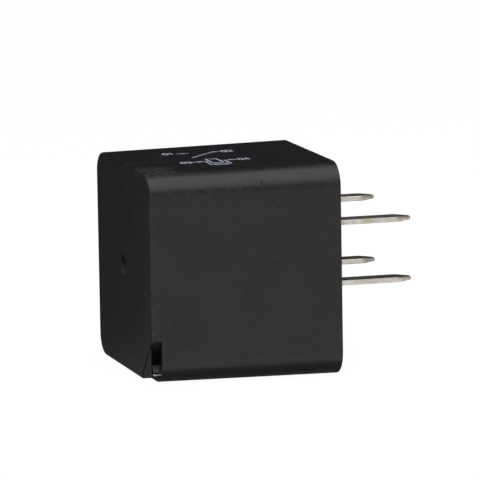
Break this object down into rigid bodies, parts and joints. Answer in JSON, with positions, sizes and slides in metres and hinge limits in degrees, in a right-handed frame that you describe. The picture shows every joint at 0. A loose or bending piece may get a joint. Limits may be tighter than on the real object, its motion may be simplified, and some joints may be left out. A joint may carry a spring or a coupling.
{
  "type": "plug in relay",
  "caption": "Square black plug in relay with flat blades, an electromagnet, a hinged armature and a normally open contact under a snap fitted cover.",
  "frame": {"origin": "centre of the seating face, the outer face of the base", "axes": "+X out of the seating face along the blades, +Y towards the contact terminals' side, +Z towards the side with the printed circuit"},
  "size_m": [0.0368, 0.028, 0.028],
  "materials": {
    "cover_plastic": "moulded black plastic with a fine matte grain",
    "base_plastic": "moulded black glass filled plastic",
    "tinned_brass": "tin plated brass, dulled and slightly brown",
    "contact_alloy": "silver contact alloy",
    "plated_steel": "bright zinc plated soft iron and steel",
    "bobbin_plastic": "natural nylon",
    "enamelled_copper": "enamelled copper wire",
    "resistor_lacquer": "tan lacquer",
    "solder": "tin solder",
    "spring_bronze": "rolled spring bronze",
    "bare_copper": "bare stranded copper"
  },
  "bodies": {
    "base_assembly": {"base": "base_plastic", "coil_terminal_upper": "tinned_brass", "coil_terminal_lower": "tinned_brass", "common_terminal": "tinned_brass", "contact_terminal": "tinned_brass", "fixed_contact": "contact_alloy", "back_stop": "plated_steel", "yoke": "plated_steel", "core": "plated_steel", "bobbin": "bobbin_plastic", "coil_winding": "enamelled_copper", "coil_leads": "enamelled_copper", "suppression_resistor": "resistor_lacquer", "resistor_leads": "solder", "solder_joints": "solder", "spring_rivets": "plated_steel"},
    "armature_assembly": {"armature": "plated_steel", "armature_rivets": "plated_steel", "contact_spring": "spring_bronze", "moving_contact": "contact_alloy", "shunt_braid": "bare_copper"},
    "cover": {"cover": "cover_plastic"}
  },
  "joints": [
    {"name": "armature_hinge", "type": "hinge", "parent": "base_assembly", "child": "armature_assembly", "pos_m": [-0.01985, 0, -0.0112], "axis": [0, 1, 0], "range_deg": [0, 3.5], "stiffness_Nm_per_rad": 0.02, "springref_deg": -22.92, "deforming": ["contact_spring", "shunt_braid"]},
    {"name": "cover_slide", "type": "slide", "parent": "base_assembly", "child": "cover", "axis": [-1, 0, 0], "range_m": [0, 0.032]}
  ]
}
